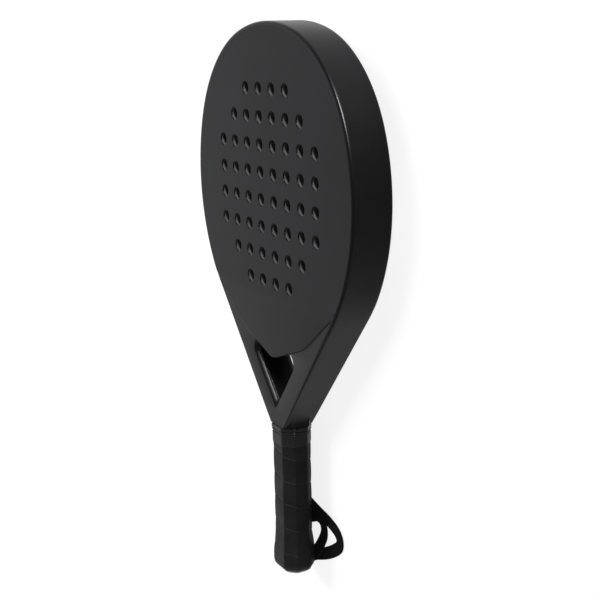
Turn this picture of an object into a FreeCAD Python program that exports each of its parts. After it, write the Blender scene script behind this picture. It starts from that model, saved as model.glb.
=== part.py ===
import FreeCAD, Part
import math
import os

# Padel racket lying on its back: perforated foam-core head, open throat, wrapped octagonal grip, wrist strap.
# Millimetres. +X is the racket's right, +Y runs from the butt to the tip, +Z comes out of the playing face
# that looks up. The origin is the middle of the racket's length and width, on the surface it lies on.

V = FreeCAD.Vector

# Overall size
LENGTH = 452.0
THICKNESS = 34.0
TIP_Y = LENGTH / 2
BUTT_Y = -LENGTH / 2
MID_Z = THICKNESS / 2

# Outline of the head: three tangent arcs a side, from the tip round to the arm. Each is its radius and the
# heading at its end.
HEAD_ARCS = [(153.0, 16.5), (113.0, 68.75), (146.0, 129.0)]
EDGE_RADIUS = 2.8
FRAME_WIDTH = 12.0
TUBE_WALL = 2.2

# Perforated faces and core
SKIN = 1.0
SKIN_INSET = 3.5
HOLE_PITCH = 21.5
HOLE_RADIUS = 5.0
HOLE_ROWS = [4, 6, 8, 8, 8, 8, 6, 4]
HOLE_GRID_Y = 100.3

# Lower edge of the faces: two slopes a side that meet in a rounded point over the throat
TONGUE_POINT_Y = -37.0
TONGUE_POINT_RADIUS = 18.0
TONGUE_SLOPE = 20.0
SHOULDER_SLOPE = 37.5
SHOULDER_X = 54.4
SHOULDER_RADIUS = 60.0
BRIDGE_DEPTH = 16.0

# Throat arms, from the outer edge line inwards, and their step down below the faces
ARM_WIDTH = 20.5
THROAT_APEX_RADIUS = 3.0
THROAT_CORNER_RADIUS = 5.0
STEP_AT_SHOULDER = 0.5
STEP_AT_NECK = 3.25
ARM_EDGE_RADIUS = 2.4
THROAT_CHAMFER = 2.2
NECK_TOP_Y = -81.5
ARM_HOLLOW_TO_FACE = 6.0
ARM_HOLLOW_END_Y = -69.9

# Handle: an octagon, wider at the butt
NECK_Y = -94.9
GRIP_WIDTH = 31.0
GRIP_HEIGHT = 27.0
GRIP_CHAMFER = 7.8
FLARE_START_Y = -187.5
FLARE_END_Y = -210.5
FLARE_SIDEWAYS = 2.2
FLARE_UPRIGHT = 1.5
DOME_START_Y = -216.0
DOME_INSET = 10.0
DOME_STEPS = [0.4, 0.64, 0.82, 0.94, 1.0]
GRIP_END_Y = -222.4
OVERGRIP = 0.8
BASE_GRIP = 1.7
STEM_WIDTH = 8.5
STEM_HEIGHT = 14.0
STEM_END_Y = -190.5
COLLAR_LENGTH = 7.0
COLLAR_WALL = 0.9
TAPE_LENGTH = 9.0
TAPE_WALL = 0.35

# Butt cap and the strap's fixing
CAP_TOP_Y = -191.5
CAP_WALL = 2.2
CAVITY_TOP_Y = -204.5
WINDOW_RIM = 1.5
PLUG_THICKNESS = 2.5
PLUG_SUNK = 0.3
SLOT_MOUTH = V(6.5, -213.8, 2.0)
SLOT_HEADING = 41.0
SLOT_RISE = 45.0
SLOT_HEIGHT = 4.2
SLOT_SIDE_GAP = 0.6
STOPPER_NECK = 6.5
STOPPER_SIZE = V(12.4, 6.4, 4.6)
STOPPER_MIDDLE = V(0.2, -217.2, 11.2)
STAPLE_WIRE = 1.0
STAPLE_LEG = 5.0
STAPLE_SPREAD = 7.0
STAPLE_SUNK = 0.3
STAPLES_BELOW_CAP_TOP = [3.0, 9.0]

# Wrist strap: flat webbing that lies on the surface, as a centreline. Its second half lies over its first
# where they leave the butt and where they meet beside the grip.
STRAP_WIDTH = 10.5
STRAP_THICKNESS = 1.2
STRAP_LOW = 0.65
STRAP_OVER = 1.85
STRAP_ROUTE = [
    (4.1, -216.0, 4.15),
    (6.7, -213.9, STRAP_LOW),
    (15.4, -210.5, STRAP_LOW),
    (27.3, -205.1, STRAP_LOW),
    (39.2, -198.1, STRAP_LOW),
    (49.3, -190.1, STRAP_LOW),
    (46.3, -180.7, STRAP_LOW),
    (31.0, -175.4, STRAP_LOW),
    (14.5, -172.9, STRAP_LOW),
    (-4.0, -168.5, STRAP_LOW),
    (-24.0, -165.3, STRAP_LOW),
    (-42.5, -166.0, STRAP_LOW),
    (-53.0, -176.0, STRAP_LOW),
    (-44.0, -188.0, STRAP_LOW),
    (-25.5, -189.0, STRAP_LOW),
    (-8.5, -185.0, STRAP_LOW),
    (3.5, -180.6, STRAP_OVER),
    (13.4, -175.5, STRAP_OVER),
    (22.9, -178.1, STRAP_OVER),
    (25.0, -187.7, 1.3),
    (20.4, -197.1, 1.7),
    (13.2, -206.6, STRAP_OVER),
    (7.2, -213.3, STRAP_OVER),
    (4.7, -215.4, 5.0),
]


def save(shape, node):
    shape.exportStep("parts/" + node + ".step")


def prism(wire, z0, z1):
    """The plan outline as a solid between two heights."""
    face = Part.Face(wire)
    face.translate(V(0, 0, z0 - wire.BoundBox.ZMin))
    return face.extrude(V(0, 0, z1 - z0))


def box(x0, x1, y0, y1, z0, z1):
    return Part.makeBox(x1 - x0, y1 - y0, z1 - z0, V(x0, y0, z0))


def line(a, b):
    return Part.LineSegment(a, b).toShape()


def mirrored(shape):
    return shape.mirror(V(0, 0, 0), V(1, 0, 0))


# Plan outlines


def arc_centres():
    """Centre of each head arc: neighbours are tangent, so centres lie on the shared radius."""
    centres = [V(0, TIP_Y - HEAD_ARCS[0][0], 0)]
    for (radius, heading), (next_radius, _) in zip(HEAD_ARCS, HEAD_ARCS[1:]):
        turn = math.radians(heading)
        away = V(math.sin(turn), math.cos(turn), 0)
        centres.append(centres[-1] + away * (radius - next_radius))
    return centres


def on_arc(index, heading, inset):
    turn = math.radians(heading)
    away = V(math.sin(turn), math.cos(turn), 0)
    return arc_centres()[index] + away * (HEAD_ARCS[index][0] - inset)


def arm_line(inset):
    """Where the straight outer edge of the right arm starts, and its direction."""
    heading = math.radians(HEAD_ARCS[-1][1])
    start = on_arc(2, HEAD_ARCS[-1][1], inset)
    return start, V(math.cos(heading), -math.sin(heading), 0)


def x_on_arm(inset, y):
    start, along = arm_line(inset)
    return start.x + along.x * (y - start.y) / along.y


def outline(inset):
    """Head and arms in plan, moved in by inset, down to the neck or to where the two sides all but meet."""
    right = []
    heading = 0.0
    for index, (_, end) in enumerate(HEAD_ARCS):
        middle = (heading + end) / 2
        points = [on_arc(index, turn, inset) for turn in (heading, middle, end)]
        right.append(Part.Arc(*points).toShape())
        heading = end
    start, along = arm_line(inset)
    foot = start + along * min((NECK_Y - start.y) / along.y, (1 - start.x) / along.x)
    right.append(line(start, foot))
    left = [mirrored(edge) for edge in right]
    return Part.Wire(Part.__sortEdges__(right + left + [line(foot, V(-foot.x, foot.y, 0))]))


def tongue_edges(up):
    """The faces' lower edge from far right to far left: slope, rounded shoulder, slope, rounded point."""
    gentle = math.radians(TONGUE_SLOPE)
    steep = math.radians(SHOULDER_SLOPE)
    point = V(0, TONGUE_POINT_Y + up, 0)
    centre = point + V(0, TONGUE_POINT_RADIUS, 0)
    leaves = centre + V(math.sin(gentle), -math.cos(gentle), 0) * TONGUE_POINT_RADIUS
    shoulder = leaves + V(1, math.tan(gentle), 0) * (SHOULDER_X - leaves.x)
    setback = SHOULDER_RADIUS * math.tan((steep - gentle) / 2)
    lower = shoulder - V(math.cos(gentle), math.sin(gentle), 0) * setback
    upper = shoulder + V(math.cos(steep), math.sin(steep), 0) * setback
    middle_turn = (steep + gentle) / 2
    shoulder_centre = lower + V(-math.sin(gentle), math.cos(gentle), 0) * SHOULDER_RADIUS
    middle = shoulder_centre + V(math.sin(middle_turn), -math.cos(middle_turn), 0) * SHOULDER_RADIUS
    far = upper + V(math.cos(steep), math.sin(steep), 0) * 130
    right = [line(far, upper), Part.Arc(upper, middle, lower).toShape(), line(lower, leaves)]
    left = [mirrored(edge) for edge in right]
    point_arc = Part.Arc(leaves, point, V(-leaves.x, leaves.y, 0)).toShape()
    return far, right + [point_arc] + left


def above_tongue(up, z0, z1):
    far, edges = tongue_edges(up)
    top = TIP_Y + 60
    corners = [far, V(far.x, top, 0), V(-far.x, top, 0), V(-far.x, far.y, 0)]
    sides = [line(a, b) for a, b in zip(corners, corners[1:])]
    return prism(Part.Wire(Part.__sortEdges__(edges + sides)), z0, z1)


def hole_centres():
    rows = len(HOLE_ROWS)
    for row, count in enumerate(HOLE_ROWS):
        y = HOLE_GRID_Y + ((rows - 1) / 2 - row) * HOLE_PITCH
        for column in range(count):
            yield V((column - (count - 1) / 2) * HOLE_PITCH, y, 0)


def drilled(shape):
    """The holes are drilled through the finished sandwich, so every layer has them in the same places."""
    drills = [Part.makeCylinder(HOLE_RADIUS, THICKNESS + 2, c - V(0, 0, 1)) for c in hole_centres()]
    return shape.cut(Part.makeCompound(drills))


# Head


def face_skin(z0):
    """Laminate face, one ply stack thick, let into the frame's rim."""
    plate = prism(outline(SKIN_INSET), z0, z0 + SKIN).common(above_tongue(0, -1, THICKNESS + 1))
    return drilled(plate)


def frame_head():
    """Hollow tube bent round the head, rounded on its outer edges, open towards the throat."""
    block = prism(outline(0), 0, THICKNESS)
    rims = [e for e in block.Edges if e.BoundBox.ZLength < 0.01 and e.BoundBox.YMax > NECK_Y + 1]
    block = block.makeFillet(EDGE_RADIUS, rims)
    tube = block.cut(prism(outline(FRAME_WIDTH), -1, THICKNESS + 1))
    tube = tube.common(above_tongue(0, -1, THICKNESS + 1))
    for z0 in (-1.0, THICKNESS - SKIN):
        tube = tube.cut(prism(outline(SKIN_INSET), z0, z0 + SKIN + 1))
    low, high = SKIN + TUBE_WALL, THICKNESS - SKIN - TUBE_WALL
    bore = prism(outline(TUBE_WALL), low, high).cut(prism(outline(FRAME_WIDTH - TUBE_WALL), low, high))
    return tube.cut(bore.common(above_tongue(TUBE_WALL * 1.5, low, high)))


def eva_core():
    inside = prism(outline(FRAME_WIDTH), SKIN, THICKNESS - SKIN)
    return drilled(inside.common(above_tongue(BRIDGE_DEPTH, 0, THICKNESS)))


def throat_bridge():
    inside = prism(outline(FRAME_WIDTH), SKIN, THICKNESS - SKIN)
    band = inside.common(above_tongue(0, 0, THICKNESS))
    return band.cut(above_tongue(BRIDGE_DEPTH, 0, THICKNESS))


# Throat


def throat_opening():
    """Triangular hole between the arms, its three upright corners rounded."""
    apex_y = arm_apex_y()
    top = TONGUE_POINT_Y + 40
    half = x_on_arm(ARM_WIDTH, top)
    corners = [V(half, top, 0), V(-half, top, 0), V(0, apex_y, 0), V(half, top, 0)]
    hole = prism(Part.makePolygon(corners), -1, THICKNESS + 1)
    hole = hole.cut(above_tongue(0, -2, THICKNESS + 2))
    apex = [e for e in upright_edges(hole) if e.BoundBox.YMax < apex_y + 1]
    hole = hole.makeFillet(THROAT_APEX_RADIUS, apex)
    upper = [e for e in upright_edges(hole) if abs(e.BoundBox.Center.x) > 30]
    return hole.makeFillet(THROAT_CORNER_RADIUS, upper)


def upright_edges(solid):
    return [e for e in solid.Edges if e.BoundBox.ZLength > THICKNESS]


def arm_apex_y():
    """Height at which the two inner edge lines of the arms meet."""
    start, along = arm_line(ARM_WIDTH)
    return start.y + along.y * (0 - start.x) / along.x


def step_at(y):
    """How far the arms' surface lies below the faces, growing evenly towards the neck."""
    shoulder_y = arm_line(0)[0].y
    return STEP_AT_SHOULDER + (STEP_AT_NECK - STEP_AT_SHOULDER) * (shoulder_y - y) / (shoulder_y - NECK_Y)


def taper():
    """The slab that the arms are cut from: thickest at the shoulders, thinnest at the neck."""
    ends = [(arm_line(0)[0].y + 30, 1), (NECK_Y - 1, 1)]
    low = [V(-200, y, step_at(y)) for y, _ in ends]
    high = [V(-200, y, THICKNESS - step_at(y)) for y, _ in reversed(ends)]
    corners = low + high
    return Part.Face(Part.makePolygon(corners + corners[:1])).extrude(V(400, 0, 0))


def dome_inset(y):
    """How far the sides have drawn in at y where the butt rounds over: a quarter of an ellipse."""
    down = min(1.0, max(0.0, (DOME_START_Y - y) / (DOME_START_Y - BUTT_Y)))
    return DOME_INSET * (1 - math.sqrt(1 - down * down))


def octagon(y, grow):
    """The grip's section at y, moved out by grow."""
    flare = min(1.0, max(0.0, (FLARE_START_Y - y) / (FLARE_START_Y - FLARE_END_Y)))
    grow = grow - dome_inset(y)
    half_w = GRIP_WIDTH / 2 + grow + flare * FLARE_SIDEWAYS
    half_h = GRIP_HEIGHT / 2 + grow + flare * FLARE_UPRIGHT
    cut = GRIP_CHAMFER + (grow + flare * FLARE_UPRIGHT) * (2 - math.sqrt(2))
    corners = [
        (half_w, half_h - cut),
        (half_w - cut, half_h),
        (cut - half_w, half_h),
        (-half_w, half_h - cut),
        (-half_w, cut - half_h),
        (cut - half_w, -half_h),
        (half_w - cut, -half_h),
        (half_w, cut - half_h),
    ]
    points = [V(x, y, MID_Z + z) for x, z in corners]
    return Part.makePolygon(points + points[:1])


def octagon_bar(grow, y0, y1):
    """Solid octagonal bar from y0 down to y1, following the flare and the rounding at the butt."""
    dome = [DOME_START_Y + step * (BUTT_Y - DOME_START_Y) for step in [0.0] + DOME_STEPS]
    stops = [y for y in [FLARE_START_Y, FLARE_END_Y] + dome if y1 + 0.05 < y < y0 - 0.05]
    sections = [octagon(y, grow) for y in [y0] + stops + [y1]]
    return Part.makeLoft(sections, True, True)


def frame_arm():
    """Right throat arm with its half of the neck: tube walls round a closed hollow."""
    body = prism(outline(0), 0, THICKNESS).cut(above_tongue(0, -1, THICKNESS + 1))
    body = body.common(taper()).cut(throat_opening())
    half = box(0, 200, -300, 300, -50, 100)
    body = body.common(half)
    outer = [e for e in body.Edges if on_outer_rim(e)]
    body = body.makeFillet(ARM_EDGE_RADIUS, outer)
    body = body.makeChamfer(THROAT_CHAMFER, [e for e in body.Edges if on_throat_rim(e)])
    neck = octagon_bar(0, NECK_TOP_Y, NECK_Y).common(half)
    body = body.fuse(neck).removeSplitter()
    hollow = prism(outline(2 * TUBE_WALL), ARM_HOLLOW_TO_FACE, THICKNESS - ARM_HOLLOW_TO_FACE)
    hollow = hollow.cut(above_tongue(-4 * TUBE_WALL, 0, THICKNESS)).cut(wide_throat())
    hollow = hollow.common(box(TUBE_WALL, 200, ARM_HOLLOW_END_Y, 300, 0, 100))
    return body.cut(hollow)


def wide_throat():
    """The throat opening with a tube wall all round it."""
    top = TONGUE_POINT_Y + 60
    half = x_on_arm(ARM_WIDTH - 2 * TUBE_WALL, top)
    start, along = arm_line(ARM_WIDTH - 2 * TUBE_WALL)
    apex = V(0, start.y - along.y * start.x / along.x, 0)
    return prism(Part.makePolygon([V(half, top, 0), V(-half, top, 0), apex, V(half, top, 0)]), 0, THICKNESS)


def on_throat_rim(edge):
    """True for the long front and back edges on the throat side of the right arm."""
    ends = [v.Point for v in edge.Vertexes]
    if len(ends) < 2 or edge.Length < 20:
        return False
    return all(abs(p.x - x_on_arm(ARM_WIDTH, p.y)) < 0.5 for p in ends) and edge.BoundBox.ZLength < 5


def on_outer_rim(edge):
    """True for the long front and back edges on the outer side of the right arm."""
    ends = [v.Point for v in edge.Vertexes]
    if len(ends) < 2 or edge.Length < 60:
        return False
    return all(abs(p.x - x_on_arm(0, p.y)) < 0.5 for p in ends) and edge.BoundBox.ZLength < 5


# Handle


def frame_stem():
    """The frame tube's right end, running down inside the handle."""
    low = MID_Z - STEM_HEIGHT / 2
    outer = box(0, STEM_WIDTH, STEM_END_Y, NECK_Y, low, low + STEM_HEIGHT)
    bore = box(
        TUBE_WALL,
        STEM_WIDTH - TUBE_WALL,
        STEM_END_Y - 1,
        NECK_Y - TUBE_WALL,
        low + TUBE_WALL,
        low + STEM_HEIGHT - TUBE_WALL,
    )
    return outer.cut(bore)


def pallet():
    """Moulded foam that gives the handle its octagon, cast round the two stems, split at mid height."""
    grow = -(OVERGRIP + BASE_GRIP)
    low = MID_Z - STEM_HEIGHT / 2
    stems = box(-STEM_WIDTH, STEM_WIDTH, STEM_END_Y, NECK_Y + 1, low, low + STEM_HEIGHT)
    foam = octagon_bar(grow, NECK_Y, CAVITY_TOP_Y).cut(stems)
    foam = foam.cut(cap_shell())
    front = foam.common(box(-50, 50, -300, 0, MID_Z, 60))
    back = foam.common(box(-50, 50, -300, 0, -60, MID_Z))
    return front, back


def cap_shell():
    """Butt cap: a skirt over the pallet, a cavity for the strap's knot, a domed end with a window."""
    grow = -(OVERGRIP + BASE_GRIP)
    cup = octagon_bar(grow, CAP_TOP_Y, GRIP_END_Y)
    cup = cup.cut(octagon_bar(grow - CAP_WALL, CAP_TOP_Y + 1, GRIP_END_Y - 0.6))
    dome = octagon_bar(0, GRIP_END_Y, BUTT_Y)
    dome = dome.cut(octagon_bar(grow - CAP_WALL, GRIP_END_Y + 1, GRIP_END_Y - 0.6))
    return cup.fuse(dome).cut(window_bar(0, GRIP_END_Y, BUTT_Y - 1)).removeSplitter()


def window_bar(shrink, y0, y1):
    """Straight bar that fills the cap's end window."""
    section = Part.Face(octagon(BUTT_Y, -WINDOW_RIM - shrink))
    section.translate(V(0, y1 - BUTT_Y, 0))
    return section.extrude(V(0, y0 - y1, 0))


def end_plug():
    """Snap-in plug that closes the cap's end window."""
    return window_bar(0, BUTT_Y + PLUG_SUNK + PLUG_THICKNESS, BUTT_Y + PLUG_SUNK)


def cap_staples():
    """Four wire staples through the cap's skirt into the pallet, two on each side facet."""
    right = []
    low = MID_Z - STAPLE_SPREAD / 2
    high = MID_Z + STAPLE_SPREAD / 2
    for drop in STAPLES_BELOW_CAP_TOP:
        y = CAP_TOP_Y - drop
        outside = octagon(y, -(OVERGRIP + BASE_GRIP)).BoundBox.XMax - STAPLE_SUNK
        inside = outside - STAPLE_LEG
        crown = box(outside - STAPLE_WIRE, outside, y - STAPLE_WIRE, y, low, high)
        feet = (low, high - STAPLE_WIRE)
        legs = [box(inside, outside, y - STAPLE_WIRE, y, z, z + STAPLE_WIRE) for z in feet]
        right.append(crown.fuse(legs).removeSplitter())
    return Part.makeCompound(right + [mirrored(staple) for staple in right])


def along_slot(shape):
    """Place a shape whose -X runs up the slanting strap slot into the cap."""
    shape.rotate(V(0, 0, 0), V(0, 1, 0), SLOT_RISE)
    shape.rotate(V(0, 0, 0), V(0, 0, 1), SLOT_HEADING)
    return shape


def strap_slot():
    """Slot in the underside of the butt, through the cap and both grips, for two thicknesses of strap."""
    width = STRAP_WIDTH + 2 * SLOT_SIDE_GAP
    slot = Part.makeBox(15, width, SLOT_HEIGHT, V(-11, -width / 2, -SLOT_HEIGHT / 2))
    slot = along_slot(slot)
    slot.translate(SLOT_MOUTH)
    return slot


def sleeve(inner, outer, y0, y1):
    return octagon_bar(outer, y0, y1).cut(octagon_bar(inner, y0 + 1, y1 - 1))


# Strap


def strap_path():
    """The route as straight runs joined by tangent arcs, and the arcs' radii."""
    points = [V(*p) for p in STRAP_ROUTE]
    edges = []
    radii = []
    at = points[0]
    for before, corner, after in zip(points, points[1:], points[2:]):
        back = (before - corner).normalize()
        ahead = (after - corner).normalize()
        turn = math.pi - back.getAngle(ahead)
        reach = 0.45 * min((before - corner).Length, (after - corner).Length)
        radius = reach / math.tan(turn / 2)
        start = corner + back * reach
        end = corner + ahead * reach
        bisector = (back + ahead).normalize()
        middle = corner + bisector * (math.hypot(radius, reach) - radius)
        edges.append(line(at, start))
        edges.append(Part.Arc(start, middle, end).toShape())
        radii.append(radius)
        at = end
    edges.append(line(at, points[-1]))
    return Part.Wire(edges), radii


def wrist_strap():
    """Webbing swept along the route, kept level across its width."""
    path, radii = strap_path()
    start = V(*STRAP_ROUTE[0])
    along = (V(*STRAP_ROUTE[1]) - start).normalize()
    side = V(0, 0, 1).cross(along).normalize() * (STRAP_WIDTH / 2)
    up = V(0, 0, STRAP_THICKNESS / 2)
    corners = [start + side + up, start - side + up, start - side - up, start + side - up]
    shell = Part.BRepOffsetAPI.MakePipeShell(path)
    shell.setBiNormalMode(V(0, 0, 1))
    shell.add(Part.makePolygon(corners + corners[:1]))
    shell.build()
    shell.makeSolid()
    solid = shell.shape()
    expected = STRAP_WIDTH * STRAP_THICKNESS * path.Length
    print("strap: length %.1f, volume %.0f of %.0f" % (path.Length, solid.Volume, expected))
    print("strap radii:", " ".join("%.1f" % r for r in radii))
    return solid


def strap_stopper(strap):
    """The strap's two ends, sewn together up the slot and knotted in a lump too wide to pull back through."""
    middle = (V(*STRAP_ROUTE[0]) + V(*STRAP_ROUTE[-1])) * 0.5
    thick = 2 * STRAP_THICKNESS
    neck = Part.makeBox(STOPPER_NECK, STRAP_WIDTH, thick, V(-STOPPER_NECK, -STRAP_WIDTH / 2, -thick / 2))
    neck = along_slot(neck)
    neck.translate(middle)
    size = STOPPER_SIZE
    lump = Part.makeBox(size.x, size.y, size.z, STOPPER_MIDDLE - size * 0.5)
    return neck.fuse(lump).removeSplitter().cut(strap)


def main():
    os.makedirs("parts", exist_ok=True)
    save(frame_head(), "frame_head")
    save(eva_core(), "eva_core")
    save(throat_bridge(), "throat_bridge")
    save(face_skin(THICKNESS - SKIN), "front_face")
    save(face_skin(0), "back_face")
    arm = frame_arm()
    save(arm, "frame_arm_right")
    save(mirrored(arm), "frame_arm_left")
    stem = frame_stem()
    save(stem, "frame_stem_right")
    save(mirrored(stem), "frame_stem_left")
    staples = cap_staples()
    slot = strap_slot()
    front, back = [half.cut(staples) for half in pallet()]
    save(front, "pallet_front")
    save(back, "pallet_back")
    save(cap_shell().cut(staples).cut(slot), "butt_cap")
    save(end_plug(), "end_plug")
    save(staples, "cap_staples")
    grip_top = NECK_Y - 0.5
    collar_end = grip_top - COLLAR_LENGTH
    save(sleeve(-OVERGRIP - BASE_GRIP, -OVERGRIP, grip_top, GRIP_END_Y).cut(slot), "base_grip")
    save(sleeve(0, COLLAR_WALL, grip_top, collar_end), "collar")
    save(sleeve(0, TAPE_WALL, collar_end, collar_end - TAPE_LENGTH), "finishing_tape")
    strap = wrist_strap()
    save(strap, "wrist_strap")
    save(sleeve(-OVERGRIP, 0, grip_top, GRIP_END_Y).cut(slot).cut(strap), "overgrip")
    save(strap_stopper(strap), "strap_stopper")


main()
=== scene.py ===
import math

import bmesh
import bpy
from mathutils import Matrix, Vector
from mathutils.geometry import tessellate_polygon


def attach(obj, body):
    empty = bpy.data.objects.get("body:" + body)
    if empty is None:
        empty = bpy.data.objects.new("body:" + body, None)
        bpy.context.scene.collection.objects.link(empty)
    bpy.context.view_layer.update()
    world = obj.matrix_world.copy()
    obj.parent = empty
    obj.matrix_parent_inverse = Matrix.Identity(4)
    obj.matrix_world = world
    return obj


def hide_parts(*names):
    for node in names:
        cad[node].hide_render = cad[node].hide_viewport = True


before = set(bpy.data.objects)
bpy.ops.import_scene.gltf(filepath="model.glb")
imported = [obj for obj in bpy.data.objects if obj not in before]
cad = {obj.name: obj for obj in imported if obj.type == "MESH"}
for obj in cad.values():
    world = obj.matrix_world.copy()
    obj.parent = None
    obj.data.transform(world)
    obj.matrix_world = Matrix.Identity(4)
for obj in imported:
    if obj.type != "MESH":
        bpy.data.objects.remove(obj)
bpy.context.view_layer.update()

# Frame: one hollow carbon tube bent round the head and down both sides of the throat into the handle.
# Woven laminate pressed in a hot mould, sanded and sprayed matt black; the tube's upper and lower edges
# are rounded, the arms step down below the faces and their inner edges are chamfered.
MM = 0.001
THICKNESS = 34.0
MID_Z = THICKNESS / 2
SKIN = 1.0
TUBE_WIDTH = 12.0
TIP_Y = 226.0
HEAD_ARCS = [(153.0, 16.5), (113.0, 68.75), (146.0, 129.0)]
RIM_ROUND = 2.8
RIM_BAND = 3.5
ARM_ROUND = 1.0
ARM_WIDTH = 20.5
LIP_ROUND = 2.0
STEP_AT_SHOULDER = 0.5
STEP_AT_NECK = 3.25
NECK_TOP_Y = -83.5
NECK_Y = -94.9
NECK_END_Y = -96.1
GRIP_WIDTH = 31.0
GRIP_HEIGHT = 27.0
GRIP_CHAMFER = 7.8
NECK_CHAMFER = 5.4
NECK_SOFT = 12.0
THROAT_CORNER = 6.4
THROAT_APEX = 3.0
WALL_ROWS = 8
HEAD_STEPS = 72
ARM_STEPS = 24
SHOULDER_STEPS = 40
TURN_STEPS = 12
TONGUE_STEPS = 24
CORNER_STEPS = 24
THROAT_STEPS = 20
APEX_STEPS = 10
NECK_STEPS = 20
NECK_FLAT_STEPS = 8


def arc_centres():
    """Centres of the head's three arcs; neighbours share a tangent, so each lies on the last one's radius."""
    centres = [Vector((0, TIP_Y - HEAD_ARCS[0][0]))]
    for (radius, turn), (next_radius, _) in zip(HEAD_ARCS, HEAD_ARCS[1:]):
        away = Vector((math.sin(math.radians(turn)), math.cos(math.radians(turn))))
        centres.append(centres[-1] + away * (radius - next_radius))
    return centres


CENTRES = arc_centres()
ARM_TURN = HEAD_ARCS[-1][1]
ARM_OUT = Vector((math.sin(math.radians(ARM_TURN)), math.cos(math.radians(ARM_TURN))))
ARM_DOWN = Vector((ARM_OUT.y, -ARM_OUT.x))
ARM_START = CENTRES[2] + ARM_OUT * HEAD_ARCS[2][0]


def on_rim(turn, inset):
    """Point of the head's outline where it faces that heading, moved in by inset."""
    index = next(i for i, (_, end) in enumerate(HEAD_ARCS) if turn <= end + 1e-9)
    away = Vector((math.sin(math.radians(turn)), math.cos(math.radians(turn))))
    return CENTRES[index] + away * (HEAD_ARCS[index][0] - inset)


def on_arm(inset, y):
    """Point of the right arm's straight edge at that height, moved in by inset."""
    start = ARM_START - ARM_OUT * inset
    return start + ARM_DOWN * ((y - start.y) / ARM_DOWN.y)


TONGUE_POINT_Y = -37.0
TONGUE_POINT_ROUND = 18.0
TONGUE_SLOPE = math.radians(20)
SHOULDER_SLOPE = math.radians(37.5)
SHOULDER_X = 54.4
SHOULDER_ROUND = 60.0


def tongue(x):
    """Height and slope of the faces' lower edge at that distance from the middle."""
    x = abs(x)
    leave_x = TONGUE_POINT_ROUND * math.sin(TONGUE_SLOPE)
    leave_y = TONGUE_POINT_Y + TONGUE_POINT_ROUND * (1 - math.cos(TONGUE_SLOPE))
    knee_y = leave_y + math.tan(TONGUE_SLOPE) * (SHOULDER_X - leave_x)
    setback = SHOULDER_ROUND * math.tan((SHOULDER_SLOPE - TONGUE_SLOPE) / 2)
    low_x = SHOULDER_X - setback * math.cos(TONGUE_SLOPE)
    high_x = SHOULDER_X + setback * math.cos(SHOULDER_SLOPE)
    if x < leave_x:
        slope = math.asin(x / TONGUE_POINT_ROUND)
        return TONGUE_POINT_Y + TONGUE_POINT_ROUND * (1 - math.cos(slope)), slope
    if x < low_x:
        return leave_y + math.tan(TONGUE_SLOPE) * (x - leave_x), TONGUE_SLOPE
    if x < high_x:
        centre_x = low_x - SHOULDER_ROUND * math.sin(TONGUE_SLOPE)
        centre_y = knee_y - setback * math.sin(TONGUE_SLOPE) + SHOULDER_ROUND * math.cos(TONGUE_SLOPE)
        slope = math.asin((x - centre_x) / SHOULDER_ROUND)
        return centre_y - SHOULDER_ROUND * math.cos(slope), slope
    return knee_y + math.tan(SHOULDER_SLOPE) * (x - SHOULDER_X), SHOULDER_SLOPE


def above_tongue(p):
    """Distance of a point above the faces' lower edge, below it negative."""
    y, slope = tongue(p.x)
    return (p.y - y) * math.cos(slope)


def arm_level(y):
    """Height of the arms' front surface."""
    fall = (ARM_START.y - y) / (ARM_START.y - NECK_Y)
    return THICKNESS - STEP_AT_SHOULDER - (STEP_AT_NECK - STEP_AT_SHOULDER) * fall


def level(p):
    """Height of the front surface before its outer edge is rounded: face, rounded lip, or arm."""
    over = above_tongue(p)
    if over >= LIP_ROUND:
        return THICKNESS
    if over <= 0:
        return arm_level(p.y)
    lip = THICKNESS - LIP_ROUND + math.sqrt(LIP_ROUND**2 - (LIP_ROUND - over) ** 2)
    return max(lip, arm_level(p.y))


def rim_section(round_over):
    """Across the rim from its side wall to the level band: (inset, drop) pairs."""
    turns = [math.radians(a) for a in (0, 12, 25, 38, 52, 65, 78, 90)]
    section = [(round_over * (1 - math.cos(a)), round_over * (1 - math.sin(a))) for a in turns]
    return section + [(RIM_BAND, 0.0)]


LIP_STEPS = [LIP_ROUND * (1 - math.sin(math.radians(a))) for a in (0, 12, 24, 36, 48, 60, 72, 82, 90)]


def heading_at(inset, over):
    """Heading at which the rim line with that inset is that far above the faces' lower edge."""
    low, high = 100.0, ARM_TURN
    for _ in range(40):
        middle = (low + high) / 2
        if above_tongue(on_rim(middle, inset)) > over:
            low = middle
        else:
            high = middle
    return low


def head_headings():
    """Headings of the rim's rows from the tip to the faces' lower edge, close together over the lip."""
    lip = [heading_at(RIM_BAND, over) for over in LIP_STEPS]
    return [lip[0] * i / HEAD_STEPS for i in range(HEAD_STEPS)] + lip


def rim_rows():
    """Rows of points across the front of the right rim, from the tip down to the top of the neck."""
    turns = head_headings()
    foot, out = turns[-1], heading_at(0.0, 0.0)
    turns += [foot + (out - foot) * i / SHOULDER_STEPS for i in range(1, SHOULDER_STEPS + 1)]
    turns += [out + (ARM_TURN - out) * i / TURN_STEPS for i in range(1, TURN_STEPS + 1)]
    rows = [[(on_rim(turn, inset), drop) for inset, drop in rim_section(RIM_ROUND)] for turn in turns]
    for i in range(1, ARM_STEPS + 1):
        share = i / ARM_STEPS
        row = []
        for inset, drop in rim_section(RIM_ROUND + (ARM_ROUND - RIM_ROUND) * share):
            start = ARM_START - ARM_OUT * inset
            row.append((start.lerp(on_arm(inset, NECK_TOP_Y), share), drop))
        rows.append(row)
    return [[Vector((p.x, p.y, level(p) - drop)) for p, drop in row] for row in rows]


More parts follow.
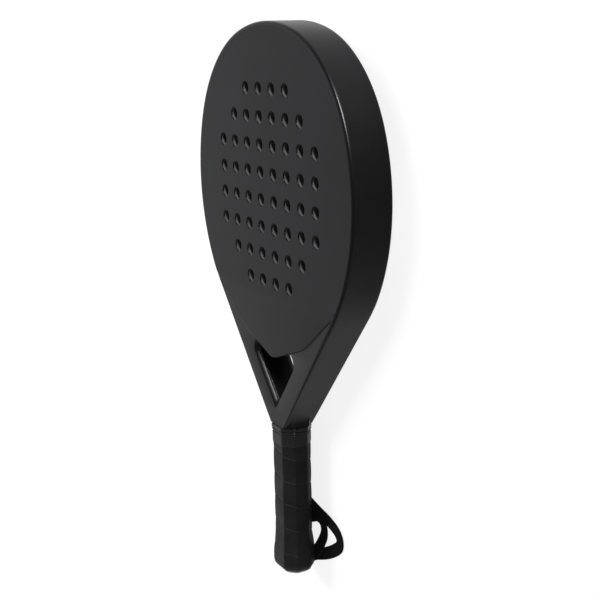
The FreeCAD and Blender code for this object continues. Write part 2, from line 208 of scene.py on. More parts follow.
def chamfer_section():
    """Across the throat side of an arm, from the wall outwards: narrow ledge, steep bevel, soft edge."""
    ledge = [(0.0, 4.7), (0.03, 4.3), (0.15, 4.0), (0.4, 3.85), (0.75, 3.8), (0.95, 3.65)]
    return ledge + [(1.15, 3.25), (1.55, 2.2), (2.25, 1.1), (2.85, 0.35), (3.15, 0.09), (3.6, 0.0)]


def drop_at(section, inset):
    for (a, drop_a), (b, drop_b) in zip(section, section[1:]):
        if inset <= b:
            return drop_a + (drop_b - drop_a) * (inset - a) / (b - a)
    return 0.0


def turned(direction, angle):
    """A plan direction turned clockwise."""
    c, s = math.cos(angle), math.sin(angle)
    return Vector((direction.x * c + direction.y * s, direction.y * c - direction.x * s))


def throat_path():
    """Edge of the throat opening, from the faces' edge round the upper right corner down to its lowest point.

    Each entry is a point, the direction into the arm there, and how far the arm reaches that way.
    """
    low = -20.0
    for _ in range(30):
        low = tongue(on_arm(ARM_WIDTH, low).x)[0]
    corner = on_arm(ARM_WIDTH, low)
    along = Vector((-math.cos(TONGUE_SLOPE), -math.sin(TONGUE_SLOPE)))
    half = along.angle(ARM_DOWN) / 2
    centre = corner + (along + ARM_DOWN).normalized() * (THROAT_CORNER / math.sin(half))
    up = Vector((-math.sin(TONGUE_SLOPE), math.cos(TONGUE_SLOPE)))
    widest = chamfer_section()[-1][0]
    clear = math.acos(THROAT_CORNER / (THROAT_CORNER + widest))
    turns = sorted([(math.pi - 2 * half) * i / CORNER_STEPS for i in range(CORNER_STEPS + 1)] + [clear])
    path = []
    for turn in turns:
        reach = THROAT_CORNER / math.cos(turn) - THROAT_CORNER if turn < clear else widest
        out = turned(up, turn)
        path.append((centre + out * THROAT_CORNER, out, reach))
    lean = math.atan2(-ARM_DOWN.x, -ARM_DOWN.y)
    apex = on_arm(ARM_WIDTH, 0)
    apex = apex + ARM_DOWN * (-apex.x / ARM_DOWN.x)
    bottom = apex + Vector((0, THROAT_APEX / math.sin(lean)))
    first, last = path[-1][0], bottom + ARM_OUT * THROAT_APEX
    path += [(first.lerp(last, i / THROAT_STEPS), ARM_OUT, widest) for i in range(1, THROAT_STEPS + 1)]
    for i in range(1, APEX_STEPS + 1):
        turn = (math.pi / 2 - lean) * i / APEX_STEPS
        out = turned(ARM_OUT, turn)
        path.append((bottom + out * THROAT_APEX, out, (THROAT_APEX + widest) / math.cos(turn) - THROAT_APEX))
    return path, turns.index(clear)


def throat_rows():
    section = chamfer_section()
    rows = []
    for point, out, reach in throat_path()[0]:
        row = []
        for inset, _ in section:
            drop = drop_at(section, min(inset, reach))
            p = point + out * (inset * reach / section[-1][0] if reach > section[-1][0] else min(inset, reach))
            row.append(Vector((p.x, p.y, arm_level(p.y) - drop)))
        rows.append(row)
    return rows


def neck_half_width(y):
    """The arms' outer edges run into the handle's side through a soft curve."""
    side, soft = GRIP_WIDTH / 2, NECK_SOFT
    meets = on_arm(0, 0).y + (side - on_arm(0, 0).x) * ARM_DOWN.y / ARM_DOWN.x
    reach = soft * math.tan(math.atan2(-ARM_DOWN.x, -ARM_DOWN.y) / 2)
    if y > meets + reach * -ARM_DOWN.y:
        return on_arm(0, y).x
    if y < meets - reach:
        return side
    return side + soft - math.sqrt(soft**2 - (y - meets + reach) ** 2)


def smooth(share):
    share = max(0.0, min(1.0, share))
    return share * share * (3 - 2 * share)


def neck_quarter(y):
    """Front right quarter of the neck's section: the arms' box standing out of the handle's octagon."""
    become = smooth((NECK_TOP_Y - y) / 3.0)
    wide = neck_half_width(y)
    wall = on_arm(0, y).x
    top = arm_level(y)
    band = [(wall - inset / ARM_OUT.x, top - drop) for inset, drop in rim_section(ARM_ROUND)]
    high = band[0][1]
    low = MID_Z + GRIP_HEIGHT / 2 - NECK_CHAMFER
    meet = low + wide - wall
    even = [MID_Z + (high - MID_Z) * i / WALL_ROWS for i in range(WALL_ROWS)]
    apart = [MID_Z + (low - MID_Z) * i / 4 for i in range(5)] + [(low + meet) / 2, meet, (meet + high) / 2]
    side = []
    for a, b in zip(even, apart):
        z = a + (b - a) * become
        side.append((max(wall, wide - max(0.0, z - low)), z))
    flat = [(band[-1][0] * (1 - i / NECK_FLAT_STEPS), top) for i in range(1, NECK_FLAT_STEPS + 1)]
    return [Vector((x, y, z)) for x, z in side + band + flat]


def neck_core(row, y):
    """The neck's last section drawn in to the octagon that runs on under the collar."""
    wide, high = GRIP_WIDTH / 2 - 0.8, GRIP_HEIGHT / 2 - 0.8
    drawn = []
    for p in row:
        x, up = min(p.x, wide), min(p.z - MID_Z, high)
        over = max(0.0, x + up - (wide + high - GRIP_CHAMFER)) / 2
        drawn.append(Vector((x - over, y, MID_Z + up - over)))
    return drawn


def quads(rows):
    """Faces between neighbouring rows of points."""
    return [(a, b, d, c) for r, s in zip(rows, rows[1:]) for a, b, c, d in zip(r, r[1:], s, s[1:])]


def wall_column(p):
    """Points from mid height straight up to a point of the front surface."""
    return [Vector((p.x, p.y, MID_Z + (p.z - MID_Z) * i / WALL_ROWS)) for i in range(WALL_ROWS + 1)]


def curtain(points):
    """Faces from an edge of the front surface straight down to mid height."""
    return quads([wall_column(p) for p in points])


def fill(loop, holes=()):
    """Triangles that close a level outline, round its holes."""
    corners = [p for ring in [loop, *holes] for p in ring]
    return [[corners[i] for i in triangle] for triangle in tessellate_polygon([loop, *holes])]


def flipped(faces, across):
    """The same faces on the other side of the middle (x) or of mid height (z)."""
    if across == "x":
        return [[Vector((-p.x, p.y, p.z)) for p in face] for face in faces]
    return [[Vector((p.x, p.y, THICKNESS - p.z)) for p in face] for face in faces]


def piece(name, faces, material, replaces=(), sharp=38.0):
    """A part of the racket from faces given as points in millimetres."""
    index, points, polygons = {}, [], []
    for face in faces:
        corners = []
        for p in face:
            key = (round(p.x, 3), round(p.y, 3), round(p.z, 3))
            if key not in index:
                index[key] = len(points)
                points.append((p.x * MM, p.y * MM, p.z * MM))
            if index[key] not in corners:
                corners.append(index[key])
        if len(corners) > 2:
            polygons.append(corners)
    mesh = bpy.data.meshes.new(name)
    mesh.from_pydata(points, [], polygons)
    solid = bmesh.new()
    solid.from_mesh(mesh)
    bmesh.ops.recalc_face_normals(solid, faces=solid.faces)
    solid.to_mesh(mesh)
    solid.free()
    mesh.shade_smooth()
    mesh.set_sharp_from_angle(angle=math.radians(sharp))
    mesh.materials.append(material)
    made = bpy.data.objects.new(name, mesh)
    bpy.context.scene.collection.objects.link(made)
    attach(made, "root")
    if replaces:
        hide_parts(*replaces)
    return made


def finish(name, specular=0.5):
    """A new material and its shader."""
    material = bpy.data.materials.new(name)
    material.use_nodes = True
    shader = material.node_tree.nodes["Principled BSDF"]
    shader.inputs["Specular IOR Level"].default_value = specular
    return material, shader


def node(material, kind, inputs=None, **settings):
    """A node with its settings, its sockets set to values or joined to other nodes' outputs."""
    made = material.node_tree.nodes.new(kind)
    for key, value in settings.items():
        setattr(made, key, value)
    for socket, value in (inputs or {}).items():
        if isinstance(value, bpy.types.NodeSocket):
            material.node_tree.links.new(value, made.inputs[socket])
        else:
            made.inputs[socket].default_value = value
    return made


def noise(material, where, scale, detail):
    """Unevenness from 0 to 1, the larger the scale the finer."""
    inputs = {"Vector": where, "Scale": scale, "Detail": detail}
    return node(material, "ShaderNodeTexNoise", inputs).outputs["Fac"]


def blend(material, share, first, second):
    """A colour that goes from the first to the second."""
    return node(material, "ShaderNodeMix", {0: share, 6: first, 7: second}, data_type="RGBA").outputs[2]


def grey(shade, blue=1.0):
    """A neutral colour from its display value, 0 to 255, with a little more blue if asked."""
    linear = (shade / 255) ** 2.2
    return (linear, linear, linear * blue, 1.0)


def paint(name, dark, light, rough, specular, blue=1.08):
    """Matt spray paint over sanded laminate: cloudy tone, orange peel, rounded edges darkened in patches as
    painted shade and a little smoother.
    """
    material, shader = finish(name, specular)
    join = material.node_tree.links.new
    where = node(material, "ShaderNodeTexCoord").outputs["Object"]
    cloud = noise(material, where, 17.0, 3.0)
    grain = noise(material, where, 900.0, 2.0)
    speck = noise(material, where, 2600.0, 1.0)
    mixed = node(material, "ShaderNodeMath", {0: cloud, 1: 0.75}, operation="MULTIPLY")
    mixed = node(material, "ShaderNodeMath", {0: speck, 1: 0.25, 2: mixed.outputs[0]}, operation="MULTIPLY_ADD")
    tone = node(material, "ShaderNodeMapRange", {0: mixed.outputs[0], 1: 0.3, 2: 0.7}).outputs[0]
    colour = blend(material, tone, grey(dark, blue), grey(light, blue))
    patches = {0: cloud, 1: 0.35, 2: 0.65, 3: rough - 0.04, 4: rough + 0.04}
    handled = node(material, "ShaderNodeMapRange", patches).outputs[0]
    facing = node(material, "ShaderNodeNewGeometry").outputs["Normal"]
    facing = node(material, "ShaderNodeSeparateXYZ", {"Vector": facing}).outputs["Z"]
    tilt = node(material, "ShaderNodeMath", {0: facing}, operation="ABSOLUTE").outputs[0]
    # Painted shade: where the surface turns over a rounded edge its colour is darkened in cloudy patches, and
    # its roughness drops a little.
    edge = node(material, "ShaderNodeMath", {0: tilt, 1: 0.6, 2: 0.28}, operation="COMPARE").outputs[0]
    edge_patchiness = node(material, "ShaderNodeMapRange", {0: cloud, 1: 0.4, 2: 0.6, 3: 0.4, 4: 0.85}).outputs[0]
    edge_shade_and_wear = node(material, "ShaderNodeMath", {0: edge, 1: edge_patchiness}, operation="MULTIPLY").outputs[0]
    join(blend(material, edge_shade_and_wear, colour, grey(dark * 0.5)), shader.inputs["Base Color"])
    smoother = node(material, "ShaderNodeMath", {0: edge_shade_and_wear, 1: -0.1, 2: handled}, operation="MULTIPLY_ADD")
    join(smoother.outputs[0], shader.inputs["Roughness"])
    peel = node(material, "ShaderNodeMath", {0: speck, 1: 0.4, 2: grain}, operation="MULTIPLY_ADD")
    bump = node(material, "ShaderNodeBump", {"Height": peel.outputs[0], "Strength": 0.25, "Distance": 0.00008})
    join(bump.outputs[0], shader.inputs["Normal"])
    return material


def shelf(p, inner):
    """Column of the rim's inner side: the face's seat, then the tube's inner wall down to mid height."""
    seat = THICKNESS - SKIN
    heights = [MID_Z + (seat - MID_Z) * i / (WALL_ROWS - 2) for i in range(WALL_ROWS - 1)]
    return [Vector((inner.x, inner.y, z)) for z in heights] + [Vector((p.x, p.y, seat)), p]


frame_paint = paint("frame_paint", 36, 43, 0.34, 0.06)
rim = rim_rows()
throat = throat_rows()
junction = throat_path()[1]
head_turns = head_headings()
meets = len(head_turns) - 1
tongue_edge = []
for i in range(TONGUE_STEPS + 1):
    x = throat[junction][-1].x + (rim[meets][-1].x - throat[junction][-1].x) * i / TONGUE_STEPS
    y = tongue(x)[0]
    tongue_edge.append(Vector((x, y, arm_level(y))))
tongue_edge[0], tongue_edge[-1] = throat[junction][-1], rim[meets][-1]
neck = [neck_quarter(NECK_TOP_Y + (NECK_Y - NECK_TOP_Y) * i / NECK_STEPS) for i in range(NECK_STEPS + 1)]
neck += [neck_core(neck[-1], NECK_Y), neck_core(neck[-1], NECK_END_Y)]
flat_edge = [rim[i][-1] for i in range(meets, len(rim))]
flat_edge += neck[0][-NECK_FLAT_STEPS:]
flat_edge += [row[-1] for row in reversed(throat[junction:])]
flat_edge += tongue_edge[1:-1]
inner_side = [wall_column(p) for p in [row[-1] for row in throat[:junction + 1]] + tongue_edge[1:-1]]
inner_side += [shelf(rim[i][-1], on_rim(head_turns[i], TUBE_WIDTH)) for i in reversed(range(meets + 1))]
quarter = quads(rim) + quads(throat) + quads(neck) + fill(flat_edge)
quarter += curtain([row[0] for row in rim]) + curtain([row[0] for row in throat]) + quads(inner_side)
quarter.append(neck[-1] + [Vector((0, NECK_END_Y, MID_Z))])
half = quarter + flipped(quarter, "z")
piece("frame_tube", half + flipped(half, "x"), frame_paint,
      ["frame_head", "frame_arm_left", "frame_arm_right"])

# Faces: laminate plates pressed with the frame, one each side, drilled through with fifty-two holes.
# Their lower edge is wrapped over the throat bridge as a thin rounded lip; every hole has a softened rim.
HOLE_PITCH = 21.5
HOLE_RADIUS = 5.0
HOLE_ROUND = 0.75
HOLE_ROWS = [4, 6, 8, 8, 8, 8, 6, 4]
HOLE_GRID_Y = 100.3
HOLE_SIDES = 40
LIP_WALL = 0.7
LIP_BLEND = 5.5
LIP_POINT = 7
LIP_STATIONS = 44


def hole_centres():
    for row, count in enumerate(HOLE_ROWS):
        y = HOLE_GRID_Y + ((len(HOLE_ROWS) - 1) / 2 - row) * HOLE_PITCH
        for column in range(count):
            yield Vector(((column - (count - 1) / 2) * HOLE_PITCH, y))


def ring(centre, radius, z):
    turns = [math.tau * i / HOLE_SIDES for i in range(HOLE_SIDES)]
    return [Vector((centre.x + radius * math.cos(a), centre.y + radius * math.sin(a), z)) for a in turns]


def closed(rows):
    return [row + row[:1] for row in rows]


def lip_rows():
    """The wrapped lower edge from the right rim to the left one, each row from the level face over and down."""
    down = [(-0.1, THICKNESS - LIP_ROUND - 0.1), (-0.1, THICKNESS - LIP_ROUND - 0.9)]
    down += [(LIP_WALL, THICKNESS - LIP_ROUND - 0.9), (LIP_WALL + 0.3, THICKNESS - SKIN)]
    end = [rim[i][-1] for i in range(meets - len(LIP_STEPS) + 1, meets + 1)]
    foot = end[-1]
    rows = [end + [Vector((foot.x, foot.y, z)) for _, z in down[:-1]]]
    rows[0].append(Vector((end[0].x, end[0].y, THICKNESS - SKIN)))
    widest = foot.x - LIP_BLEND
    stations = [widest - (widest - LIP_POINT) * i / LIP_STATIONS for i in range(LIP_STATIONS + 1)]
    stations += [LIP_POINT - i for i in range(1, LIP_POINT + 1)]
    for x in stations:
        y, slope = tongue(x)
        up = Vector((-math.sin(slope), math.cos(slope)))
        row = []
        for over, z in [(over, None) for over in LIP_STEPS] + down:
            if z is None:
                z = THICKNESS - LIP_ROUND + math.sqrt(max(0.0, LIP_ROUND**2 - (LIP_ROUND - over) ** 2))
            row.append(Vector((x + up.x * over, y + up.y * over, z)))
        rows.append(row)
    return rows


def hole_rim(centre):
    """Softened rim and bore of one hole in the front face."""
    rings = [ring(centre, HOLE_RADIUS + HOLE_ROUND + 0.5, THICKNESS)]
    for a in (0, 15, 30, 45, 60, 75, 90):
        turn = math.radians(a)
        radius = HOLE_RADIUS + HOLE_ROUND * (1 - math.sin(turn))
        rings.append(ring(centre, radius, THICKNESS - HOLE_ROUND * (1 - math.cos(turn))))
    return rings + [ring(centre, HOLE_RADIUS, THICKNESS - SKIN)]


def face_plate():
    lip = lip_rows()
    round_edge = [rim[i][-1] for i in range(meets - len(LIP_STEPS) + 2)]
    level_edge = round_edge + [row[0] for row in lip[1:]]
    seat_edge = [Vector((p.x, p.y, THICKNESS - SKIN)) for p in round_edge] + [row[-1] for row in lip[1:]]
    other = flipped([level_edge, seat_edge], "x")
    level_loop = level_edge + other[0][-2:0:-1]
    seat_loop = seat_edge + other[1][-2:0:-1]
    rims = [hole_rim(centre) for centre in hole_centres()]
    sides = quads(lip) + quads([[a, b] for a, b in zip(round_edge, seat_edge)])
    faces = sides + flipped(sides, "x")
    for rings in rims:
        faces += quads(closed(rings))
    faces += fill(level_loop, [rings[0] for rings in rims])
    faces += fill(seat_loop, [rings[-1] for rings in rims])
    return faces


face_paint = paint("face_paint", 35, 42, 0.4, 0.045)
plate = face_plate()
piece("front_plate", plate, face_paint, ["front_face"])
piece("back_plate", flipped(plate, "z"), face_paint, ["back_face"])

# Core and bridge: a slab of soft EVA foam fills the head between the faces and is drilled with them. A short
# laminate bridge closes the head over the throat, in the frame's unsanded paint darkened to near black as
# painted shade for the deep throat.
def plain(name, dark, light, rough, scale, deep, specular=0.5):
    """A moulded, foamed or woven finish with an uneven tone and fine relief."""
    material, shader = finish(name, specular)
    join = material.node_tree.links.new
    where = node(material, "ShaderNodeTexCoord").outputs["Object"]
    cloud = noise(material, where, scale / 20, 3.0)
    grain = noise(material, where, scale, 3.0)
    tone = node(material, "ShaderNodeMapRange", {0: cloud, 1: 0.3, 2: 0.7}).outputs[0]
    join(blend(material, tone, grey(dark), grey(light)), shader.inputs["Base Color"])
    patchy = node(material, "ShaderNodeMapRange", {0: grain, 1: 0.3, 2: 0.7, 3: rough - 0.05, 4: rough + 0.05})
    join(patchy.outputs[0], shader.inputs["Roughness"])
    bump = node(material, "ShaderNodeBump", {"Height": grain, "Strength": 0.5, "Distance": deep})
    join(bump.outputs[0], shader.inputs["Normal"])
    return material


def keep(name, material):
    """A hidden or plain part stays as it was built and takes its real finish."""
    for holder in cad[name].material_slots:
        holder.material = material


keep("eva_core", plain("core_foam", 40, 52, 0.85, 1100.0, 0.0004))
# The bridge's near-black paint is painted shade for the deep throat, not a different paint.
keep("throat_bridge", paint("throat_shade_paint", 12, 18, 0.6, 0.02))

# Handle core: the frame tube's two ends run down inside a moulded foam pallet, which gives the grip its
# octagon. They are bonded and stapled into the butt cap and never show on a finished racket.
raw_laminate = plain("raw_laminate", 34, 40, 0.5, 260.0, 0.0002)
for name in ("frame_stem_left", "frame_stem_right"):
    keep(name, raw_laminate)
pallet_foam = plain("pallet_foam", 92, 112, 0.8, 700.0, 0.0005)
for name in ("pallet_front", "pallet_back"):
    keep(name, pallet_foam)
staple_steel = plain("staple_steel", 150, 170, 0.3, 400.0, 0.00005)
staple_steel.node_tree.nodes["Principled BSDF"].inputs["Metallic"].default_value = 1.0
keep("cap_staples", staple_steel)

# Butt cap: grey moulded plastic cup over the handle's end, with a flared, domed rim and a snap-in end plug.
# The wraps run over its skirt, so only the smooth rim and the plug show.
FLARE_START_Y = -187.5
FLARE_END_Y = -210.5
FLARE_SIDEWAYS = 2.2
FLARE_UPRIGHT = 1.5
GRIP_END_Y = -222.4
DOME_START_Y = -216.0
DOME_INSET = 10.0
BUTT_Y = -226.0


def dome_inset(y):
    """How far the sides have drawn in where the butt rounds over."""
    down = min(1.0, max(0.0, (DOME_START_Y - y) / (DOME_START_Y - BUTT_Y)))
    return DOME_INSET * (1 - math.sqrt(1 - down * down))


def octagon_ring(y, grow, soft, flats=4, arcs=4):
    """Closed, rounded section of the handle at that height, moved out by grow, from the front left corner."""
    flare = smooth((FLARE_START_Y - y) / (FLARE_START_Y - FLARE_END_Y))
    grow = grow - dome_inset(y)
    wide = GRIP_WIDTH / 2 + grow + flare * FLARE_SIDEWAYS
    high = GRIP_HEIGHT / 2 + grow + flare * FLARE_UPRIGHT
    cut = GRIP_CHAMFER + (grow + flare * FLARE_UPRIGHT) * (2 - math.sqrt(2))
    cut = max(cut, 0.3)
    corners = [(cut - wide, high), (wide - cut, high), (wide, high - cut), (wide, cut - high)]
    corners = [Vector(c) for c in corners]
    corners += [-c for c in corners]
    points = []
    for i, corner in enumerate(corners):
        back = (corners[i - 1] - corner).normalized()
        ahead = (corners[(i + 1) % 8] - corner).normalized()
        reach = soft * math.tan(math.radians(22.5))
        centre = corner + (back + ahead).normalized() * (soft / math.cos(math.radians(22.5)))
        first = corner + back * reach - centre
        for k in range(arcs + 1):
            spin = -math.radians(45) * k / arcs
            c, s = math.cos(spin), math.sin(spin)
            points.append(centre + Vector((first.x * c - first.y * s, first.x * s + first.y * c)))
        leave = corner + ahead * reach
        after = corners[(i + 1) % 8] - ahead * reach
        points += [leave.lerp(after, k / flats) for k in range(1, flats)]
    return [Vector((p.x, y, MID_Z + p.y)) for p in points]


def turned_tube(profile, soft):
    """A closed sleeve or cup from (height, growth) pairs round its section."""
    rows = [octagon_ring(y, grow, soft) for y, grow in profile]
    return quads(closed(rows + rows[:1]))


cap_plastic = plain("cap_plastic", 112, 126, 0.38, 1500.0, 0.00005, 0.1)
BAND = [-222.35, -222.8, -223.4, -224.0, -224.5, -225.0, -225.4, -225.7, -225.9, BUTT_Y]
WINDOW_INSET = DOME_INSET + 1.5
cap = [(-221.0, -3.4), (-221.0, -1.0)] + [(y, -0.45) for y in BAND] + [(BUTT_Y, -1.1), (BUTT_Y + 0.08, -1.3)]
cap += [(y, dome_inset(y) - WINDOW_INSET) for y in (BUTT_Y + 0.3, -222.5)]
piece("butt_cap_rim", turned_tube(cap, 2.6), cap_plastic, ["butt_cap"])


def end_plug_faces():
    """A plate with a softened edge and a shallow dished middle."""
    profile = [(-223.4, 0.15), (-225.2, 0.15), (-225.5, 0.3), (-225.65, 0.65), (-225.65, 1.3), (-225.5, 1.6)]
    rows = [octagon_ring(y, dome_inset(y) - WINDOW_INSET - inset, 1.0) for y, inset in profile]
    middle = Vector((0, -225.5, MID_Z))
    back = Vector((0, -223.4, MID_Z))
    faces = quads(closed(rows))
    last, first = closed([rows[-1], rows[0]])
    faces += [(a, b, middle) for a, b in zip(last, last[1:])]
    faces += [(a, b, back) for a, b in zip(first, first[1:])]
    return faces


piece("end_plug_plate", end_plug_faces(), cap_plastic, ["end_plug"])

# Grips: a cushioned base grip under a thin tacky overgrip. The overgrip is one long band of soft plastic,
# wound from the butt upwards so that each turn covers a third of the last; its edge shows as a slanting ridge.
WRAP_PITCH = 21.0
WRAP_SEAM = 0.5
WRAP_SOFT = 1.6
WRAP_LAID_IN = 0.32
WRAP_CROWN = 0.34
SEAM_SHARE = 0.026
WRAP_ROWS = [0.0, 0.012, 0.024, 0.04, 0.07, 0.13, 0.21, 0.3, 0.4]
WRAP_ROWS += [0.5, 0.6, 0.7, 0.79, 0.87, 0.93, 0.96, 0.976, 0.988]
GRIP_TOP_Y = NECK_Y - 0.5


def wrap_height(share):
    """How far the band stands out between one seam (0) and the next (1): crowned, with a groove at each."""
    crown = WRAP_CROWN * math.sin(math.pi * share) ** 0.7
    groove = 1 - smooth(min(share, 1 - share) / SEAM_SHARE)
    return crown - WRAP_LAID_IN - WRAP_SEAM * groove


def overgrip_faces():
    nominal = octagon_ring((GRIP_TOP_Y + FLARE_START_Y) / 2, 0.0, WRAP_SOFT)
    steps = [(b - a).length for a, b in zip(nominal, nominal[1:] + nominal[:1])]
    around = [sum(steps[:j]) / sum(steps) for j in range(len(steps))]
    per_turn = len(WRAP_ROWS)
    turns = int((GRIP_TOP_Y - GRIP_END_Y) / WRAP_PITCH) + 2
    lines = [(turn + share, share) for turn in range(-1, turns) for share in WRAP_ROWS]
    grid = []
    for along, share in lines:
        row = []
        for j, part in enumerate(around):
            y = GRIP_TOP_Y - WRAP_PITCH * (along + part)
            y += 0.5 * math.sin(along * 2.1 + part * 6.28) if GRIP_END_Y < y < GRIP_TOP_Y else 0
            y = max(GRIP_END_Y, min(GRIP_TOP_Y, y))
            fade = smooth((y - GRIP_END_Y) / 1.6) * smooth((GRIP_TOP_Y - y) / 1.0)
            grow = wrap_height(share) * fade - 0.55 * (1 - smooth((y - GRIP_END_Y) / 1.6))
            row.append(octagon_ring(y, grow, WRAP_SOFT)[j])
        grid.append(row)
    faces = []
    for i in range(len(grid) - 1):
        for j in range(len(around) - 1):
            faces.append((grid[i][j], grid[i + 1][j], grid[i + 1][j + 1], grid[i][j + 1]))
        if i + 1 + per_turn < len(grid):
            faces.append((grid[i][-1], grid[i + 1][-1], grid[i + 1 + per_turn][0], grid[i + per_turn][0]))
    ends = [(GRIP_TOP_Y, 0), (GRIP_TOP_Y, -0.8), (GRIP_END_Y, -0.95), (GRIP_END_Y, -0.55)]
    return faces + quads(closed([octagon_ring(y, grow, WRAP_SOFT) for y, grow in ends]))


grip_wrap = plain("grip_wrap", 44, 52, 0.6, 1300.0, 0.00025, 0.04)
piece("overgrip_wrap", overgrip_faces(), grip_wrap, ["overgrip"], sharp=60.0)
cushion = plain("cushion_grip", 30, 36, 0.7, 900.0, 0.0003)
keep("base_grip", cushion)

# Collar and finishing tape: a glossy rubber ring hides the grips' upper end, and a turn of thin plastic tape
# below it keeps the overgrip from unwinding.
collar_rubber = plain("collar_rubber", 36, 44, 0.24, 500.0, 0.00006, 0.12)
collar = [(-95.4, -0.3), (-95.4, 0.5), (-95.55, 0.8), (-95.9, 0.95), (-96.7, 1.0), (-98.0, 1.05)]
collar += [(-98.35, 0.9), (-98.5, 0.45), (-98.7, 0.15), (-99.0, 0.15), (-99.2, 0.5), (-99.45, 0.8)]
collar += [(-100.2, 0.85), (-100.5, 0.6), (-100.65, 0.1), (-101.3, -0.05), (-102.3, -0.05), (-102.3, -0.4)]
piece("collar_ring", turned_tube(collar, 2.0), collar_rubber, ["collar"], sharp=50.0)
tape_film = plain("tape_film", 44, 50, 0.45, 350.0, 0.0001, 0.08)
tape = [(-101.7, -0.3), (-101.7, 0.25), (-102.1, 0.5), (-102.8, 0.42)]
tape += [(-110.6, 0.36), (-111.2, 0.25), (-111.6, -0.3)]
piece("tape_band", turned_tube(tape, 1.8), tape_film, ["finishing_tape"], sharp=50.0)

# Wrist strap: one length of flat woven webbing, folded into a loop, both ends up through a slot in the
# underside of the butt and sewn into a lump inside the cap. It lies slack beside the handle.
STRAP_WIDTH = 10.5
STRAP_THICK = 1.2
STRAP_ROUTE = [
    (4.1, -216.0, 4.15), (6.7, -213.9, 0.65), (15.4, -210.5, 0.65), (27.3, -205.1, 0.65),
    (39.2, -198.1, 0.65), (49.3, -190.1, 0.65), (46.3, -180.7, 0.65), (31.0, -175.4, 0.65),
    (14.5, -172.9, 0.65), (-4.0, -168.5, 0.65), (-24.0, -165.3, 0.65), (-42.5, -166.0, 0.65),
    (-53.0, -176.0, 0.65), (-44.0, -188.0, 0.65), (-25.5, -189.0, 0.65), (-8.5, -185.0, 0.65),
    (3.5, -180.6, 1.85), (13.4, -175.5, 1.85), (22.9, -178.1, 1.85), (25.0, -187.7, 1.3),
    (20.4, -197.1, 1.7), (13.2, -206.6, 1.85), (7.2, -213.3, 1.85), (4.7, -215.4, 5.0),
]


def woven(name, dark, light):
    """Dull polyester yarn in a diagonal twill: ribs both ways, painted shade darkening the grooves between
    them, fuzz over all.
    """
    material, shader = finish(name, 0.02)
    join = material.node_tree.links.new
    where = node(material, "ShaderNodeTexCoord").outputs["Object"]
    fuzz = noise(material, where, 2400.0, 2.0)
    ribs = []
    for lean in (35.0, -50.0):
        turn = {"Vector": where, "Rotation": (0.0, 0.0, math.radians(lean))}
        spun = node(material, "ShaderNodeMapping", turn).outputs[0]
        rib = {"Vector": spun, "Scale": 240.0, "Distortion": 0.6}
        ribs.append(node(material, "ShaderNodeTexWave", rib).outputs["Fac"])
    twill = node(material, "ShaderNodeMath", {0: ribs[0], 1: ribs[1]}, operation="MAXIMUM").outputs[0]
    # Painted shade: the colour darkens in the grooves between the ribs.
    tone = node(material, "ShaderNodeMath", {0: twill, 1: fuzz}, operation="MULTIPLY").outputs[0]
    join(blend(material, tone, grey(dark), grey(light, 1.1)), shader.inputs["Base Color"])
    rough = node(material, "ShaderNodeMapRange", {0: fuzz, 1: 0.3, 2: 0.7, 3: 0.75, 4: 0.9})
    join(rough.outputs[0], shader.inputs["Roughness"])
    bump = node(material, "ShaderNodeBump", {"Height": tone, "Strength": 0.6, "Distance": 0.0003})
    join(bump.outputs[0], shader.inputs["Normal"])
    return material


def smooth_route(points):
    """Points down the middle of the strap's own smooth line, in metres."""
    curve = bpy.data.curves.new("route", "CURVE")
    curve.dimensions = "3D"
    spline = curve.splines.new("NURBS")
    spline.points.add(len(points) - 1)
    for spot, p in zip(spline.points, points):
        spot.co = (p[0] * MM, p[1] * MM, p[2] * MM, 1.0)
    spline.order_u = 3
    spline.use_endpoint_u = True
    spline.resolution_u = 14
    holder = bpy.data.objects.new("route", curve)
    mesh = bpy.data.meshes.new_from_object(holder)
    line = [v.co.copy() for v in mesh.vertices]
    line = [p for p, before in zip(line, [Vector((0, 0, 1))] + line) if (p - before).length > 0.00005]
    bpy.data.meshes.remove(mesh)
    bpy.data.objects.remove(holder)
    bpy.data.curves.remove(curve)
    return line


def strap_faces(line):
    """The webbing round its line: flat, level across, with thin rounded selvedges."""
    half, thick = STRAP_WIDTH / 2, STRAP_THICK / 2
    across = [-half, -half + 0.15, -half + 0.5, -half + 1.2, -half + 2.4, -half + 3.8]
    across += [0.0] + [-a for a in reversed(across)]
    edge = [0.25 * thick, 0.7 * thick, 0.95 * thick]
    tall = edge + [thick] * (len(across) - 2 * len(edge)) + edge[::-1]
    section = list(zip(across, tall)) + [(a, -t) for a, t in reversed(list(zip(across, tall)))]
    rows = []
    for i, p in enumerate(line):
        ahead = (line[min(i + 1, len(line) - 1)] - line[max(i - 1, 0)]).normalized()
        side = Vector((0, 0, 1)).cross(ahead).normalized()
        up = ahead.cross(side)
        rows.append([p / MM + side * a + up * t for a, t in section])
    faces = quads(closed(rows))
    return faces + [rows[0], rows[-1]]


webbing = woven("webbing", 20, 28)
strap_line = smooth_route(STRAP_ROUTE)
wrist_strap = piece("strap_webbing", strap_faces(strap_line), webbing, ["wrist_strap"], sharp=50.0)
keep("strap_stopper", webbing)

# Floor, lamps and camera: a white sheet under the racket, three broad lamps for the tone and a small one that
# gives only the glints along rounded edges. The camera stands off the racket's right side, a little above it.
def lamp(name, place, target, size, watts):
    data = bpy.data.lights.new(name, "AREA")
    data.shape = "RECTANGLE"
    data.size, data.size_y = size
    data.energy = watts
    made = bpy.data.objects.new(name, data)
    made.location = place
    made.rotation_euler = (Vector(target) - Vector(place)).to_track_quat("-Z", "Y").to_euler()
    bpy.context.scene.collection.objects.link(made)
    return made


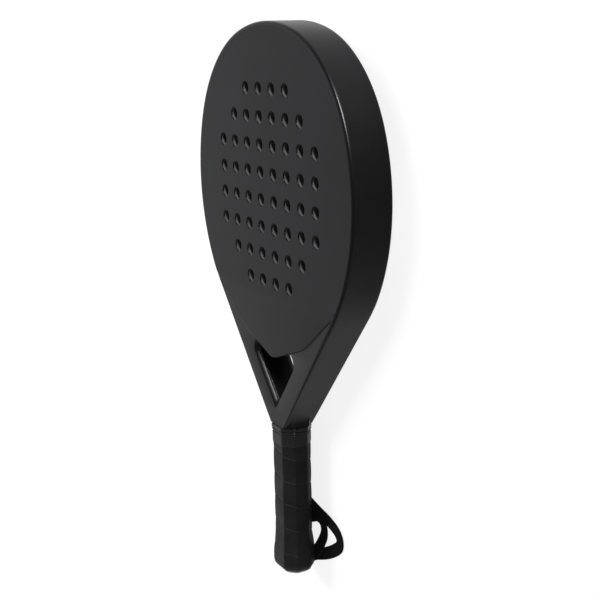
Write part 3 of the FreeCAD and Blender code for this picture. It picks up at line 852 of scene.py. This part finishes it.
def shows_white(owner):
    """1 for rays that see the backdrop straight on, mirrored or through glass, 0 for those that only light."""
    path = node(owner, "ShaderNodeLightPath").outputs
    seen = path["Is Camera Ray"]
    for ray in ("Is Glossy Ray", "Is Transmission Ray"):
        seen = node(owner, "ShaderNodeMath", {0: seen, 1: path[ray]}, operation="MAXIMUM").outputs[0]
    return seen


floor_mesh = bpy.data.meshes.new("floor")
floor_mesh.from_pydata([(-6, -6, 0), (6, -6, 0), (6, 6, 0), (-6, 6, 0)], [], [(0, 1, 2, 3)])
floor = bpy.data.objects.new("floor", floor_mesh)
bpy.context.scene.collection.objects.link(floor)
floor.location.z = -0.0002
white, shader = finish("white_floor", 0.0)
shader.inputs["Base Color"].default_value = (0.2, 0.2, 0.2, 1)
shader.inputs["Roughness"].default_value = 0.9
floor_mesh.materials.append(white)
glow = node(white, "ShaderNodeMath", {0: shows_white(white), 1: 0.84}, operation="MULTIPLY")
white.node_tree.links.new(glow.outputs[0], shader.inputs["Emission Strength"])
shader.inputs["Emission Color"].default_value = (1, 1, 1, 1)

world = bpy.data.worlds.new("room")
bpy.context.scene.world = world
world.use_nodes = True
background = world.node_tree.nodes["Background"]
background.inputs[0].default_value = (1, 1, 1, 1)
sky = node(world, "ShaderNodeMapRange", {0: shows_white(world), 3: 0.1, 4: 1.0})
world.node_tree.links.new(sky.outputs[0], background.inputs[1])

lamp("key", (-1.9, 1.0, 1.9), (0, 0, 0), (1.5, 1.5), 105).visible_glossy = False
lamp("foot", (-0.1, -1.9, 0.25), (0, 0, 0), (0.9, 0.4), 48).visible_glossy = False
lamp("head", (0.1, 1.9, 0.3), (0, 0, 0), (0.9, 0.4), 32).visible_glossy = False
lamp("glint", (1.2, 1.4, 0.5), (0, 0.1, 0), (0.7, 0.2), 200).visible_diffuse = False

camera_data = bpy.data.cameras.new("camera")
camera_data.lens = 68.336
camera_data.sensor_width = 36.0
camera = bpy.data.objects.new("camera", camera_data)
camera.location = (0.78273, 0.21866, 0.43819)
camera.rotation_euler = [math.radians(a) for a in (-15.4351, 60.8313, -2.3953)]
bpy.context.scene.collection.objects.link(camera)
bpy.context.scene.camera = camera
bpy.context.scene.view_settings.view_transform = "Standard"
